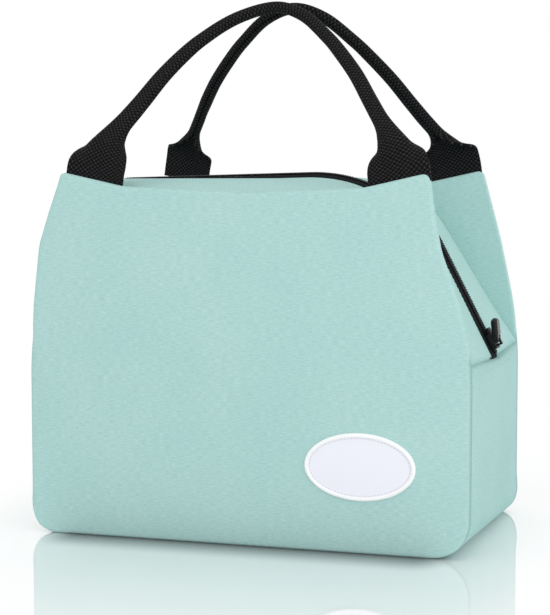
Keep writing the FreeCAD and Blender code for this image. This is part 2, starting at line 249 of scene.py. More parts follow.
def makeGrained(name, look, toneOf=None):
    # moulded, enamelled or spun: noise all through the piece, for faint marks or for a thread's fibres
    material, shader = newMaterial(name, look)
    place = shader.node("ShaderNodeTexCoord", output="Object")
    inputs = {"Vector": place, "Scale": look["grain"], "Detail": look["detail"]}
    grain = shader.node("ShaderNodeTexNoise", None, inputs)
    tone = toneOf(shader, look) if toneOf else grain
    feed(shader, "Base Color", mixColours(tone, look["dark"], look["light"]))
    feed(shader, "Roughness", look["roughness"] + grain * look["spread"])
    bumped(shader, grain, look)
    return material


def badgeRim(shader, look):
    # the badge's UV map is x and z, and its rim is a little whiter than its face
    x, z = coordinates(shader, "UV")
    x = (x - badgeMiddle.x) * (1 / (badgeReach.x - look["rimWidth"]))
    z = (z - badgeMiddle.z) * (1 / (badgeReach.z - look["rimWidth"]))
    return (x * x + z * z).maths("GREATER_THAN", 1.0)


cloth = makeCloth()
webbing = makeWoven("blackWebbing", webbingFinish)
tapeCloth = makeWoven("zipTapeCloth", tapeFinish)
bindingCloth = makeWoven("bindingTape", bindingFinish)
film = makeFilm()
coilNylon = makeGrained("coilNylon", coilFinish)
sliderEnamel = makeGrained("sliderEnamel", sliderFinish)
pullGloss = makeGrained("pullGloss", pullFinish)
badgeRubber = makeGrained("badgeRubber", badgeFinish, badgeRim)
mintThread = makeGrained("mintThread", mintThreadFinish)
greyThread = makeGrained("greyThread", greyThreadFinish)
print("finishes made")


# Shape helpers

def ramp(values, start, end):
    # 0 up to the start, 1 from the end on, and even between them
    return np.clip((values - start) / (end - start), 0, 1)


def unit(vectors):
    length = np.linalg.norm(vectors, axis=-1, keepdims=True)
    return vectors / np.maximum(length, 1e-12)  # one of no length stays so


def stepLengths(grid, axis):
    return np.linalg.norm(np.diff(grid, axis=axis), axis=-1)


def running(steps):
    # the way travelled at each point, from the steps between them
    return np.concatenate([[0], np.cumsum(steps)])


def atDepth(flat, y):
    # points in x and z, stood at the depth y
    return np.stack([flat[..., 0], np.broadcast_to(y, flat.shape[:-1]), flat[..., 1]], -1)


def roundedPath(corners, lineSteps, arcSteps):
    # (x, z, radius) corners become straight runs joined by tangent arcs, evenly divided
    points = [np.array(corner[:2], float) for corner in corners]
    lineSteps = np.broadcast_to(lineSteps, len(corners) - 1)
    arcSteps = np.broadcast_to(arcSteps, len(corners) - 2)
    path = []
    start = points[0]
    for i in range(1, len(corners) - 1):
        radius = corners[i][2]
        back, ahead = unit(points[i - 1] - points[i]), unit(points[i + 1] - points[i])
        half = math.acos(float(np.clip(back @ ahead, -1, 1))) / 2
        enter, leave = [points[i] + way * radius / math.tan(half) for way in (back, ahead)]
        middle = points[i] + unit(back + ahead) * radius / math.sin(half)
        path += list(np.linspace(start, enter, lineSteps[i - 1], endpoint=False))
        first, last = [math.atan2(*(point - middle)[::-1]) for point in (enter, leave)]
        turn = (last - first + math.pi) % (2 * math.pi) - math.pi
        angles = first + turn * np.arange(arcSteps[i - 1]) / arcSteps[i - 1]
        path += list(middle + radius * np.stack([np.cos(angles), np.sin(angles)], -1))
        start = leave
    return np.array(path + list(np.linspace(start, points[-1], lineSteps[-1] + 1)))


def alongLine(points, shares):
    # points at the given shares of a line's length
    travelled = running(stepLengths(points, 0))
    return np.stack([np.interp(shares, travelled / travelled[-1], column) for column in points.T], -1)


def besidePath(path):
    # unit normals of a flat path, to one side
    tangent = unit(np.gradient(path, axis=0))
    return np.stack([tangent[:, 1], -tangent[:, 0]], -1)


def outwards(path):
    # unit normals of a flat path, away from the bag's middle
    normal = besidePath(path)
    away = ((path - bagMiddle) * normal).sum(1).mean()
    return normal if away > 0 else -normal


def roundIn(distance, radius):
    # how far a surface falls back near a rounded edge
    near = np.clip(radius - distance, 0, radius)
    return radius - np.sqrt(radius * radius - near * near)


def edgeSteps(length, step, rim):
    # shares of a length: close together at both ends, then even
    start = rim / length
    middle = np.linspace(start[-1], 1 - start[-1], max(3, int(length / step)))
    return np.concatenate([start[:-1], middle, 1 - start[-2::-1]])


def surfaceNormals(grid):
    return unit(np.cross(np.gradient(grid, axis=0), np.gradient(grid, axis=1)))


def lengthMap(grid):
    # UV in metres: distance along the rows, and along the columns
    u = running(stepLengths(grid, 1).mean(0))
    v = running(stepLengths(grid, 0).mean(1))
    return np.stack(np.meshgrid(u - u.mean(), v), -1)


def addObject(name, data):
    made = bpy.data.objects.new(name, data)
    scene.collection.objects.link(made)
    return made


def quadsOf(index):
    corners = [index[:-1, :-1], index[1:, :-1], index[1:, 1:], index[:-1, 1:]]
    return np.stack(corners, -1).reshape(-1, 4)


def meshObject(name, vertices, faces, uvs, material):
    mesh = bpy.data.meshes.new(name)
    mesh.from_pydata(vertices.tolist(), [], faces)
    layer = mesh.uv_layers.new(name="weave")
    order = np.zeros(len(mesh.loops), int)
    mesh.loops.foreach_get("vertex_index", order)
    layer.data.foreach_set("uv", uvs[order].astype(np.float32).ravel())
    editable = bmesh.new()
    editable.from_mesh(mesh)
    bmesh.ops.recalc_face_normals(editable, faces=editable.faces)
    editable.to_mesh(mesh)
    editable.free()
    mesh.shade_smooth()
    mesh.materials.append(material)
    return addObject(name, mesh)


def mirrored(grid, side):
    # the front's grid, or the same on the back
    return grid * [1, side, 1]


def shellObject(name, outer, inner, material, side=1, uvs=None, seamGap=None):
    # a closed wall between two of the front's grids; seamGap is each point's distance from a seam, near which
    # the cloth gets painted shade
    outer, inner = mirrored(outer, side), mirrored(inner, side)
    rows, columns = outer.shape[:2]
    count = rows * columns
    index = np.arange(count).reshape(rows, columns)
    face = quadsOf(index)
    edge = np.concatenate([index[0], index[1:, -1], index[-1, -2::-1], index[-2::-1, 0]])
    wall = np.stack([edge[:-1], edge[1:], edge[1:] + count, edge[:-1] + count], -1)
    faces = np.concatenate([face, face[:, ::-1] + count, wall])
    flat = (lengthMap(outer) if uvs is None else uvs).reshape(-1, 2)
    vertices = np.concatenate([outer.reshape(-1, 3), inner.reshape(-1, 3)])
    piece = meshObject(name, vertices, faces.tolist(), np.concatenate([flat, flat]), material)
    if seamGap is not None:
        shade = ramp(np.broadcast_to(seamGap, (rows, columns)).ravel(), clothFinish["seamWidth"], 0)
        attribute = piece.data.attributes.new("seamShade", "FLOAT", "POINT")
        attribute.data.foreach_set("value", np.concatenate([shade, shade]))
    return piece


def areaOf(grid):
    a, b, c, d = grid[:-1, :-1], grid[1:, :-1], grid[1:, 1:], grid[:-1, 1:]
    return float((np.linalg.norm(np.cross(c - a, d - b), axis=2) / 2).sum())


def declareSheet(grid):
    # works out the grid's area, which is not kept
    areaOf(grid)


def assign(piece, nodes=(), flap=None):
    # hides the nodes it stands for; a piece with a flap has its place baked into its mesh, and other pieces
    # go on the lower bag
    if nodes:
        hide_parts(*nodes)
    if flap:
        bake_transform(piece)
    else:
        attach(piece, "lower_bag")


# Front and back panels, with their ears

panelLook = {
    "sideBend": (halfWidth, foldZ + 8 * mm, 200 * mm), "earLean": 22.5 * mm, "tipRadius": 4 * mm,
    "rootX": 70 * mm, "rootRadius": 7 * mm, "topSag": 3.2 * mm,
    "crown": 2.6 * mm, "crownPower": 0.7, "crownTop": 0.94, "edgeRound": 2.3 * mm, "backRound": 1.2 * mm,
    "step": 4.4 * mm, "rim": np.array([0, 0.3, 0.8, 1.5, 2.5, 4.2, 7]) * mm,
    "leftCorner": 2.6 * mm, "rightCorner": (0, 4.0 * mm),  # fuller corners; the right from front to back
    "seamTop": 5 * mm, "fill": 0.5, "heldRim": 5 * mm, "simFrames": 20, "swellCap": 3.2 * mm,
    "sim": {"vertex_group_mass": "seam", "quality": 5, "mass": 0.3, "tension_stiffness": 40,
            "compression_stiffness": 40, "shear_stiffness": 20, "bending_stiffness": 8, "use_pressure": True,
            "uniform_pressure_force": 1.6},
}
wingLook = {
    "heights": np.array([115, 140, 168, 185, 205]) * mm, "reach": (50 * mm, 100 * mm),
    "drawn": np.array([0, 1.2, 4.8, 4.0, 2.0]) * mm, "leftOut": np.array([0, 3.3, 6.6, 5.0, 2.4]) * mm,
    "bowed": np.array([0, 0.9, 1.4, 0.8, 0]) * mm,
    "droopX": (60 * mm, 105 * mm), "droopZ": (150 * mm, 210 * mm), "droopIn": 4.5 * mm, "droopDown": 4.0 * mm,
}


def panelOutline(look=panelLook, lines=24, arcs=16):
    # bottom, right side and top, cut half-way round the bottom corner and the ear's tip
    corners = [(0, 0, 0), (halfWidth, 0, cornerRadius), look["sideBend"],
               (halfWidth - look["earLean"], earTipZ, look["tipRadius"]),
               (look["rootX"], topSeamZ + look["topSag"], look["rootRadius"]), (0, topSeamZ, 0)]
    line = roundedPath(corners, lines, arcs)
    cornerCut = lines + arcs // 2
    tipCut = cornerCut + 2 * (lines + arcs)
    bottom, side, top = line[:cornerCut + 1], line[cornerCut:tipCut + 1], line[tipCut:]
    bottom = np.concatenate([bottom[:0:-1] * [-1, 1], bottom])
    return bottom, side, np.concatenate([top * [-1, 1], top[-2::-1]])


def panelGrid(look=panelLook):
    # a Coons patch over the outline, with rows close together at the rim
    bottom, side, top = panelOutline()
    u = edgeSteps(2 * halfWidth, look["step"], look["rim"])
    v = edgeSteps(earTipZ, look["step"], look["rim"])
    low, high = alongLine(bottom, u), alongLine(top, u)
    right = alongLine(side, v)
    left = right * [-1, 1]
    uu, vv = u[None, :, None], v[:, None, None]
    ruled = (1 - vv) * low[None] + vv * high[None] + (1 - uu) * left[:, None] + uu * right[:, None]
    square = (1 - uu) * ((1 - vv) * low[0] + vv * high[0]) + uu * ((1 - vv) * low[-1] + vv * high[-1])
    sideGap = np.minimum(u, 1 - u)[None, :] * 2 * halfWidth
    rimGap = np.minimum(sideGap, np.minimum(v, 1 - v)[:, None] * earTipZ)
    bow = np.sin(np.pi * u)[None, :] * np.sin(np.pi * np.clip(v * look["crownTop"], 0, 1))[:, None]
    return ruled - square, rimGap, bow ** look["crownPower"]


def fuller(grid, look=panelLook):
    # the bottom corners stand out a little more than an arc, most of all at the back on the right
    x, y, z = np.moveaxis(grid, -1, 0)
    inCorner = np.clip(abs(x) - halfWidth + cornerRadius, 0, None) * np.clip(cornerRadius - z, 0, None)
    right = np.interp(y, [panelFace, -panelFace], look["rightCorner"])
    push = math.sqrt(2) * inCorner / cornerRadius ** 2 * np.where(x > 0, right, look["leftCorner"])
    return grid + np.stack([np.sign(x) * push, push * 0, -np.minimum(push, z)], -1)


def swollen(name, grid, rimGap, look=panelLook):
    # how far the panel's cloth, held at its seams, is pressed out by its padding
    rows, columns = grid.shape[:2]
    faces = quadsOf(np.arange(rows * columns).reshape(rows, columns).T)  # these point outwards
    mesh = bpy.data.meshes.new(name)
    mesh.from_pydata(grid.reshape(-1, 3).tolist(), [], faces.tolist())
    skin = addObject(name, mesh)
    held = skin.vertex_groups.new(name="seam")
    held.add(np.nonzero(rimGap.ravel() < look["heldRim"])[0].tolist(), 1.0, "REPLACE")
    sim = skin.modifiers.new("sim", "CLOTH")
    for setting, value in look["sim"].items():
        setattr(sim.settings, setting, value)
    sim.settings.effector_weights.gravity = 0
    sim.point_cache.frame_end = look["simFrames"]
    for step in range(1, look["simFrames"] + 1):
        scene.frame_set(step)
    shaped = skin.evaluated_get(bpy.context.evaluated_depsgraph_get()).to_mesh()
    moved = np.zeros(len(shaped.vertices) * 3)
    shaped.vertices.foreach_get("co", moved)
    scene.frame_set(1)
    bpy.data.objects.remove(skin)
    push = moved.reshape(rows, columns, 3)[:, :, 1] - grid[:, :, 1]
    return np.clip(push, -look["swellCap"], look["swellCap"])


def wingMoves(x, z, look=wingLook):
    # the front's right wing is drawn in beside the zip and its left one stands out;
    # the back's right wing bows out and its left ear droops
    drawn, leftOut, bowed = [np.interp(z, look["heights"], look[way])
                             for way in ("drawn", "leftOut", "bowed")]
    onRight, onLeft = ramp(x, *look["reach"]), ramp(-x, *look["reach"])
    droop = ramp(-x, *look["droopX"]) * ramp(z, *look["droopZ"]) ** 2
    still = np.zeros_like(x)
    front = [-drawn * onRight - leftOut * onLeft, still, still]
    back = [bowed * onRight + droop * look["droopIn"], still, -droop * look["droopDown"]]
    return {"front": np.stack(front, -1), "back": np.stack(back, -1)}


def makePanels(look=panelLook):
    flat, rimGap, bow = panelGrid()
    x, z = flat[:, :, 0], flat[:, :, 1]
    outer = atDepth(flat, panelFace - look["crown"] * bow)
    push = swollen("panelCloth", outer, rimGap)
    print("panel cloth settled, largest move", round(float(abs(push).max()) * 1000, 1), "mm")
    outer[:, :, 1] += push
    outer[:, :, 1] += roundIn(rimGap, look["edgeRound"])
    inner = atDepth(flat, panelBack - roundIn(rimGap, look["backRound"]))
    moves = wingMoves(x, z)
    seamGap = np.where(z < foldZ + look["seamTop"], rimGap, 1)  # the ears' edges are folds, not seams
    for label, side in sides:
        walls = [fuller(mirrored(wall + moves[label], side)) for wall in (outer, inner)]
        piece = shellObject(label + "Panel", *walls, cloth, uvs=flat, seamGap=seamGap)
        nodes = ("panel_lower", "panel_upper", "foam_lower", "foam_upper")
        assign(piece, [label + "_" + node for node in nodes], label)
    print("panels made")
    return outer


panelSurface = makePanels()


# Lower gusset: one strip up a side, along the base and up the other side

gussetLook = {"thickness": 4.0 * mm, "bulge": 2.2 * mm, "edgeRound": 1.9 * mm, "tuckIn": 0.9 * mm,
              "fill": 0.5, "topGap": 0.2 * mm, "topFold": 1.7 * mm, "foldHeight": 4 * mm, "foldRound": 2 * mm,
              "foldInset": 6 * mm, "topSag": 3.0 * mm, "sagHeight": 25 * mm, "step": 5 * mm,
              "rim": np.array([0, 0.3, 0.8, 1.5, 2.4, 4]) * mm}


def gussetPath(inset, look=gussetLook, lines=30, arcs=14):
    x, radius, top = halfWidth - inset, cornerRadius - inset, foldZ - look["topGap"]
    corners = [(x, top, 0), (x, inset, radius), (-x, inset, radius), (-x, top, 0)]
    return roundedPath(corners, lines, arcs)


def gussetSurface(inset, reach):
    y = (edgeSteps(2 * reach, gussetLook["step"], gussetLook["rim"]) * 2 - 1) * reach
    return atDepth(np.repeat(gussetPath(inset)[:, None], len(y), 1), y)


def makeGusset(look=gussetLook):
    reach = -panelBack + look["tuckIn"]
    path = gussetPath(0.0)
    outer, inner = gussetSurface(0.0, reach), gussetSurface(look["thickness"], reach)
    y = outer[0, :, 1]
    fromTop, fromEdge = foldZ - path[:, 1], reach - abs(y)
    height = ramp(path[:, 1], cornerRadius, foldZ)
    swell = look["bulge"] * np.sin(np.pi * height)[:, None] * np.cos(np.pi * y / (2 * reach))[None]
    fold = look["topFold"] * (1 - roundIn(fromTop, look["foldRound"]) / look["foldRound"])
    fold = np.where(fromTop < look["foldHeight"], fold, 0)[:, None] * (fromEdge > look["foldInset"])[None]
    lift = swell + fold - roundIn(fromEdge, look["edgeRound"])[None]
    outer += atDepth(outwards(path), 0)[:, None] * lift[:, :, None]
    for wall in (outer, inner):
        nearTop = ramp(wall[:, :, 2], foldZ - look["sagHeight"], foldZ) ** 2
        wall[:, :, 2] -= look["topSag"] * nearTop * np.cos(np.pi * wall[:, :, 1] / (2 * reach)) ** 2
    seamGap = np.minimum(fromEdge[None], fromTop[:, None])
    piece = shellObject("lowerGusset", fuller(outer), fuller(inner), cloth, seamGap=seamGap)
    assign(piece, ["base_gusset", "gusset_foam"])
    print("gusset made")


makeGusset()


# Zip gusset: a band on each side of the zip

bandLook = {
    "seamX": 67.5 * mm, "seamRadius": 17 * mm, "seamInset": 0.6 * mm, "seamDrop": 0.5 * mm,
    "straightRun": 76 * mm, "shoulderRadius": 20 * mm,  # the slider stays on the straight run
    "zipTop": (56.5 * mm, 210.4 * mm, 90 * mm), "zipLeft": (-105 * mm, 205.4 * mm, 12 * mm),
    "zipLines": [20, 4, 26, 26], "zipArcs": [8, 20, 26],  # in all as many steps as on the seam
    "foot": 7 * mm, "footIn": 2 * mm, "slot": 8.4 * mm, "tuckIn": 0.7 * mm, "bulge": 3.0 * mm,
    "bulgeFrom": 40 * mm, "lip": 5 * mm, "thickness": 4.4 * mm, "edge": 1.5 * mm, "leastWall": 0.2 * mm,
    "thickening": (4 * mm, 12 * mm), "edgeRound": 0.8 * mm, "seamRound": 1.2 * mm, "fill": 0.4,
    "film": 0.3 * mm, "filmShort": 6, "stitchInset": 2.4 * mm, "stitchLift": 0.12 * mm,
    "step": 4 * mm, "rim": np.array([0, 0.3, 0.7, 1.2, 2.2, 4]) * mm,
}
ridgeLook = {"runs": 1.7 * mm, "left": 0.9 * mm, "right": 3.4 * mm, "leftX": -100 * mm,
             "topHeights": (180 * mm, 202 * mm)}


def zipPath(look=bandLook):
    run = look["straightRun"]
    shoulder = (halfWidth + zipAxis.x * run, foldZ + zipAxis.z * run, look["shoulderRadius"])
    corners = [(halfWidth, foldZ, 0), shoulder, look["zipTop"], look["zipLeft"], (-halfWidth, foldZ, 0)]
    return roundedPath(corners, look["zipLines"], look["zipArcs"])


def ridgeAlong(path, look=ridgeLook):
    # how far the zip stands up from the bands on its runs and along the top
    high = np.interp(path[:, 0], [look["leftX"], 0], [look["left"], look["right"]])
    return look["runs"] + (high - look["runs"]) * ramp(path[:, 1], *look["topHeights"])


def archAt(sink):
    path = zipPath()
    return path - outwards(path) * np.broadcast_to(sink, len(path))[:, None]


def seamPath(look=bandLook, steps=26):
    foot, x, z = halfWidth - look["seamInset"], look["seamX"], topSeamZ - look["seamDrop"]
    corners = [(foot, foldZ, 0), (x, z, look["seamRadius"]), (-x, z, look["seamRadius"]), (-foot, foldZ, 0)]
    return roundedPath(corners, steps, steps)


def withFeet(path):
    # both ends go on down behind the lower gusset
    inwards, down = bandLook["footIn"], bandLook["foot"]
    return np.concatenate([path[:1] - [[inwards, down]], path, path[-1:] + [[inwards, -down]]])


def bandSurface(look=bandLook):
    # rows follow the arch, columns run from the panel seam to the zip
    seam, arch = [withFeet(path) for path in (seamPath(), archAt(ridgeAlong(zipPath())))]
    start = panelBack - look["tuckIn"]
    width = -look["slot"] - start
    share = edgeSteps(width, look["step"], look["rim"])
    run = share * width
    rise = ramp(run, 0, width - look["lip"])[None, :, None]
    grid = atDepth(seam[:, None] * (1 - rise) + arch[:, None] * rise, start + run)
    normal = -surfaceNormals(grid)  # these point out of the bag
    swell = look["bulge"] * np.sin(np.pi * share) * ramp(grid[:, :, 2], foldZ, foldZ + look["bulgeFrom"])
    return grid + normal * swell[:, :, None], normal, run, width - run


def makeBands(look=bandLook):
    middle, normal, run, fromZip = bandSurface()
    fall = roundIn(fromZip, look["edgeRound"]) + roundIn(run, look["seamRound"])
    wall = look["edge"] + (look["thickness"] - look["edge"]) * ramp(fromZip, *look["thickening"])
    outer = middle - normal * fall[None, :, None]
    inner = middle - normal * np.maximum(wall, fall + look["leastWall"])[None, :, None]
    # the film stops a few columns short of the zip
    kept = slice(None, -look["filmShort"])
    filmOuter = inner[:, kept] - normal[:, kept] * look["film"]
    filmInner = filmOuter - normal[:, kept] * look["film"]
    sewnColumn = np.argmin(abs(fromZip - look["stitchInset"]))
    stitchLine = middle[:, sewnColumn] + normal[:, -1] * look["stitchLift"]
    seamGap = np.clip(run - look["tuckIn"], 0, None)[None]
    for label, side in sides:
        piece = shellObject(label + "ZipBand", outer, inner, cloth, side, seamGap=seamGap)
        assign(piece, [label + "_zip_band", label + "_band_foam"], label)
        back = shellObject(label + "BandLining", filmOuter, filmInner, film, side)
        assign(back, [label + "_band_lining"], label)
        declareSheet(filmOuter)
    print("zip bands made")
    return stitchLine[1:-1]


zipStitchLine = makeBands()


# Zip: two tapes

tapeLook = {"inner": 0.75 * mm, "flatTo": 5.8 * mm, "outer": 15.5 * mm, "sink": 0.95 * mm, "under": 0.35 * mm,
            "climbPower": 1.3, "thickness": 0.6 * mm, "tail": 6 * mm}


def makeTapes(look=tapeLook, columns=15):
    y = np.linspace(-look["outer"], -look["inner"], columns)
    # the tape climbs from under the band to the coil, and its tails go down at both ends
    climb = ramp(-y, look["flatTo"], bandLook["slot"]) ** look["climbPower"]
    path = zipPath()
    ridge, normal, path = [np.concatenate([line[:1], line, line[-1:]])
                           for line in (ridgeAlong(path), outwards(path), path)]
    path[[0, -1], 1] -= look["tail"]
    sink = look["sink"] + (ridge[:, None] + look["under"]) * climb[None]
    face, back = [atDepth(path[:, None] - normal[:, None] * depth[:, :, None], y)
                  for depth in (sink, sink + look["thickness"])]
    for label, side in sides:
        piece = shellObject(label + "ZipTape", face, back, tapeCloth, side)
        ends = ["zip_end_right", "zip_end_left"] if label == "front" else []
        assign(piece, [label + "_zip_tape", *ends], label)
        declareSheet(face)
    print("zip tapes made")


makeTapes()


# Rows of beads: coil turns and stitches, by one Geometry Nodes tree

def beadRowTree(rings=5, longest=10.0):
    # no line is as long as the longest, in metres
    tree = bpy.data.node_groups.new("beadRow", "GeometryNodeTree")
    trim, points, placed, real, smooth, finish, bead, sized = [
        tree.nodes.new("GeometryNode" + kind) for kind in
        ("TrimCurve", "CurveToPoints", "InstanceOnPoints", "RealizeInstances", "SetShadeSmooth",
         "SetMaterial", "MeshUVSphere", "Transform")]
    trim.mode = "LENGTH"
    points.mode = "LENGTH"
    bead.inputs["Rings"].default_value = rings
    bead.inputs["Radius"].default_value = 1.0
    # the trim has a start and an end as shares, and then as lengths
    start, end = [socket for socket in trim.inputs if socket.name in ("Start", "End")][-2:]
    end.default_value = longest
    inputs = {"Geometry": ("Geometry", trim.inputs["Curve"]), "Spacing": ("Float", points.inputs["Length"]),
              "Shift": ("Float", start), "Bead size": ("Vector", sized.inputs["Scale"]),
              "Segments": ("Int", bead.inputs["Segments"]), "Finish": ("Material", finish.inputs["Material"])}
    for name, (kind, target) in inputs.items():
        tree.interface.new_socket(name, in_out="INPUT", socket_type="NodeSocket" + kind)
    tree.interface.new_socket("Geometry", in_out="OUTPUT", socket_type="NodeSocketGeometry")
    given, result = tree.nodes.new("NodeGroupInput"), tree.nodes.new("NodeGroupOutput")
    chain = (trim, points, placed, real, smooth, finish, result)
    links = [(source.outputs[0], target.inputs[0]) for source, target in zip(chain, chain[1:])]
    links += [(given.outputs[name], target) for name, (kind, target) in inputs.items()]
    links += [(bead.outputs["Mesh"], sized.inputs["Geometry"]),
              (sized.outputs["Geometry"], placed.inputs["Instance"]),
              (points.outputs["Rotation"], placed.inputs["Rotation"])]
    for source, target in links:
        tree.links.new(source, target)
    return tree


beadRow = beadRowTree()


def beadsAlong(name, line, look, finish, shift=0.0, closed=False):
    # beads along a line; the curve's normal lies level, so a bead's x is across and its z along
    curve = bpy.data.curves.new(name + "Line", "CURVE")
    curve.dimensions = "3D"
    curve.twist_mode = "Z_UP"
    spline = curve.splines.new("POLY")
    spline.points.add(len(line) - 1)
    for point, place in zip(spline.points, line):
        point.co = (*place, 1)
    spline.use_cyclic_u = closed
    holder = addObject(name + "Line", curve)
    modifier = holder.modifiers.new("beads", "NODES")
    modifier.node_group = beadRow
    values = {"Spacing": look["pitch"], "Shift": shift, "Bead size": look["bead"],
              "Segments": look["segments"], "Finish": finish}
    for socket in beadRow.interface.items_tree:
        if socket.in_out == "INPUT" and socket.name in values:
            modifier[socket.identifier] = values[socket.name]
    bpy.context.view_layer.update()
    evaluated = holder.evaluated_get(bpy.context.evaluated_depsgraph_get())
    mesh = bpy.data.meshes.new_from_object(evaluated)
    mesh.name = name
    holder.modifiers.clear()
    bpy.data.objects.remove(holder)
    return addObject(name, mesh)


coilLook = {"centre": 1.98 * mm, "sink": 0.3 * mm, "pitch": 1.5 * mm, "bead": (1.4 * mm, 0.76 * mm, 0.8 * mm),
            "segments": 8, "stagger": {"front": 0.25, "back": 0.75}}  # the stagger in pitches
stitchLook = {"pitch": 3.0 * mm, "bead": (0.3 * mm, 0.22 * mm, 1.15 * mm), "segments": 6}


def makeCoils(look=coilLook):
    line = atDepth(archAt(look["sink"]), -look["centre"])
    for label, side in sides:
        shift = look["stagger"][label] * look["pitch"]
        piece = beadsAlong(label + "Coil", mirrored(line, side), look, coilNylon, shift)
        assign(piece, [label + "_zip_coil"], label)
        sewn = beadsAlong(label + "ZipStitches", mirrored(zipStitchLine, side), stitchLook, mintThread)
        assign(sewn, flap=label)
    print("coil and stitches made")


makeCoils()


# Handles: webbing flat at the ears, folded in to a narrow grip

handleLook = {
    # points of the right half, in the handle's own plane, in mm
    "line": [(89.6, -11.5), (88.2, -2.0), (85.0, 10.0), (79.6, 21.0), (72.8, 32.0), (66.0, 43.5),
             (56.0, 60.5), (43.8, 77.5), (34.3, 89.0), (18.0, 105.0), (0.0, 112.0)],
    "columns": 27, "halfWidth": 17.4 * mm, "thickness": 1.8 * mm,
    "apexShift": {"front": -1.3 * mm, "back": 6.0 * mm}, "leftBow": {"front": 17 * mm, "back": 0.0},
    "apexY": 8 * mm, "bendLength": 16 * mm,
    "folding": {"front": (-5 * mm, 33 * mm), "back": (3 * mm, 25 * mm)},  # flat up to here, folded from here
    "coreAt": (0.2, 0.5, 0.8),  # right, top and left, as shares of the line
    "coreFlat": {"front": (1.7 * mm, 0.6 * mm, 3.0 * mm), "back": (1.6 * mm, 0.6 * mm, 1.1 * mm)},
    "coreBend": 2.0 * mm, "foldAngle": 174.0, "looseCore": 2.2 * mm, "looseBend": 9 * mm, "loosePower": 1.5,
    "endDrawn": {"front": 0.0, "back": 5.5 * mm}, "drawnX": (66 * mm, 106 * mm),  # at the left end
    "hingeStart": 8 * mm, "hingeEnd": 9 * mm,
}


def smoothLine(points, perSpan=11):
    # a Catmull-Rom line through given points
    padded = np.concatenate([[2 * points[0] - points[1]], points, [2 * points[-1] - points[-2]]])
    line = []
    for before, start, end, after in zip(padded, padded[1:], padded[2:], padded[3:]):
        for t in np.arange(perSpan) / perSpan:
            curve = (2 * before - 5 * start + 4 * end - after) * t ** 2
            curve += (3 * start - before - 3 * end + after) * t ** 3
            line.append(0.5 * (2 * start + (end - before) * t + curve))
    return np.array(line + [points[-1]])


def handleLine(label, look=handleLook):
    half = np.array(look["line"]) * mm
    line = smoothLine(np.concatenate([half, half[-2::-1] * [-1, 1]]))
    share = np.clip(line[:, 1] / line[:, 1].max(), 0, 1)
    line[:, 0] += look["apexShift"][label] * share ** 2
    line[:, 0] -= np.where(line[:, 0] < 0, look["leftBow"][label] * share ** 2 * (1 - share ** 4), 0)
    return line


def foldSection(fold, core, look=handleLook):
    # the webbing's section, from flat (fold 0) to both edges turned in (fold 1): across, depth, and width
    full = math.radians(look["foldAngle"])
    folded = 2 * core + look["coreBend"] * full  # the edges then meet at the middle
    halfSpan = look["halfWidth"] + (folded - look["halfWidth"]) * fold
    angle = max(fold * full, 1e-4)  # not nought, as the bend is divided by it
    core = core + (1 - fold) * look["looseCore"]
    bend = look["coreBend"] + (1 - fold) ** look["loosePower"] * look["looseBend"]
    bend = min((halfSpan - core) / angle, bend)
    along = np.linspace(-halfSpan, halfSpan, look["columns"])
    reach = abs(along)
    turn = np.clip((reach - core) / bend, 0, angle)
    flap = np.clip(reach - core - bend * angle, 0, None)
    across = np.minimum(reach, core) + bend * np.sin(turn) + flap * math.cos(angle)
    depth = bend * (1 - np.cos(turn)) + flap * math.sin(angle)
    return np.sign(along) * across, depth, along


def handlePlane(heights, look=handleLook, margin=30 * mm, steps=600):
    # the plane stands upright in the ear, then leans in: its tilt and its way in and up, by height
    low, high = heights.min(), heights.max()
    rise, step = np.linspace(low - margin, high + margin, steps, retstep=True)
    lean = math.asin((-handleY - look["apexY"]) / (high - 0.5 * look["bendLength"]))
    tilt = lean * ramp(rise, 0, look["bendLength"])
    inwards, upwards = np.cumsum(np.sin(tilt)) * step, np.cumsum(np.cos(tilt)) * step
    return rise, tilt, inwards - np.interp(0, rise, inwards), upwards - np.interp(0, rise, upwards)


def handleGrid(label, look=handleLook):
    line = handleLine(label)
    share = ramp(line[:, 1], *look["folding"][label])
    folds = share * share * (3 - 2 * share)
    cores = np.interp(np.linspace(0, 1, len(line)), look["coreAt"], look["coreFlat"][label])
    sections = np.array([foldSection(fold, core) for fold, core in zip(folds, cores)])
    across, depth, along = np.moveaxis(sections, 1, 0)
    flat = line[:, None] + besidePath(line)[:, None] * across[:, :, None]
    rise, *plane = handlePlane(line[:, 1])
    tilt, inwards, upwards = [np.interp(flat[:, :, 1], rise, values) for values in plane]
    x = flat[:, :, 0] + look["endDrawn"][label] * ramp(-flat[:, :, 0], *look["drawnX"])
    y = handleY + inwards + depth * np.cos(tilt)
    z = handleZ + upwards - depth * np.sin(tilt)
    travelled = np.broadcast_to(running(stepLengths(line, 0))[:, None], along.shape)
    return np.stack([x, y, z], -1), np.stack([along, travelled], -1)


def makeHandles(look=handleLook):
    for label, side in sides:
        middle, uvs = handleGrid(label)
        half = surfaceNormals(middle) * look["thickness"] / 2
        piece = shellObject(label + "Handle", middle + half, middle - half, webbing, side, uvs)
        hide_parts(label + "_handle", label + "_handle_ends")
        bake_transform(piece)
    print("handles made")


makeHandles()


# Slider and pull: the CAD forms with their edges softened

softLook = {"merge": 1e-6, "flat": math.radians(1), "sharp": math.radians(22), "smooth": math.radians(40),
            "segments": 3, "profile": 0.6, "slider": 0.25 * mm, "pull": 0.35 * mm}


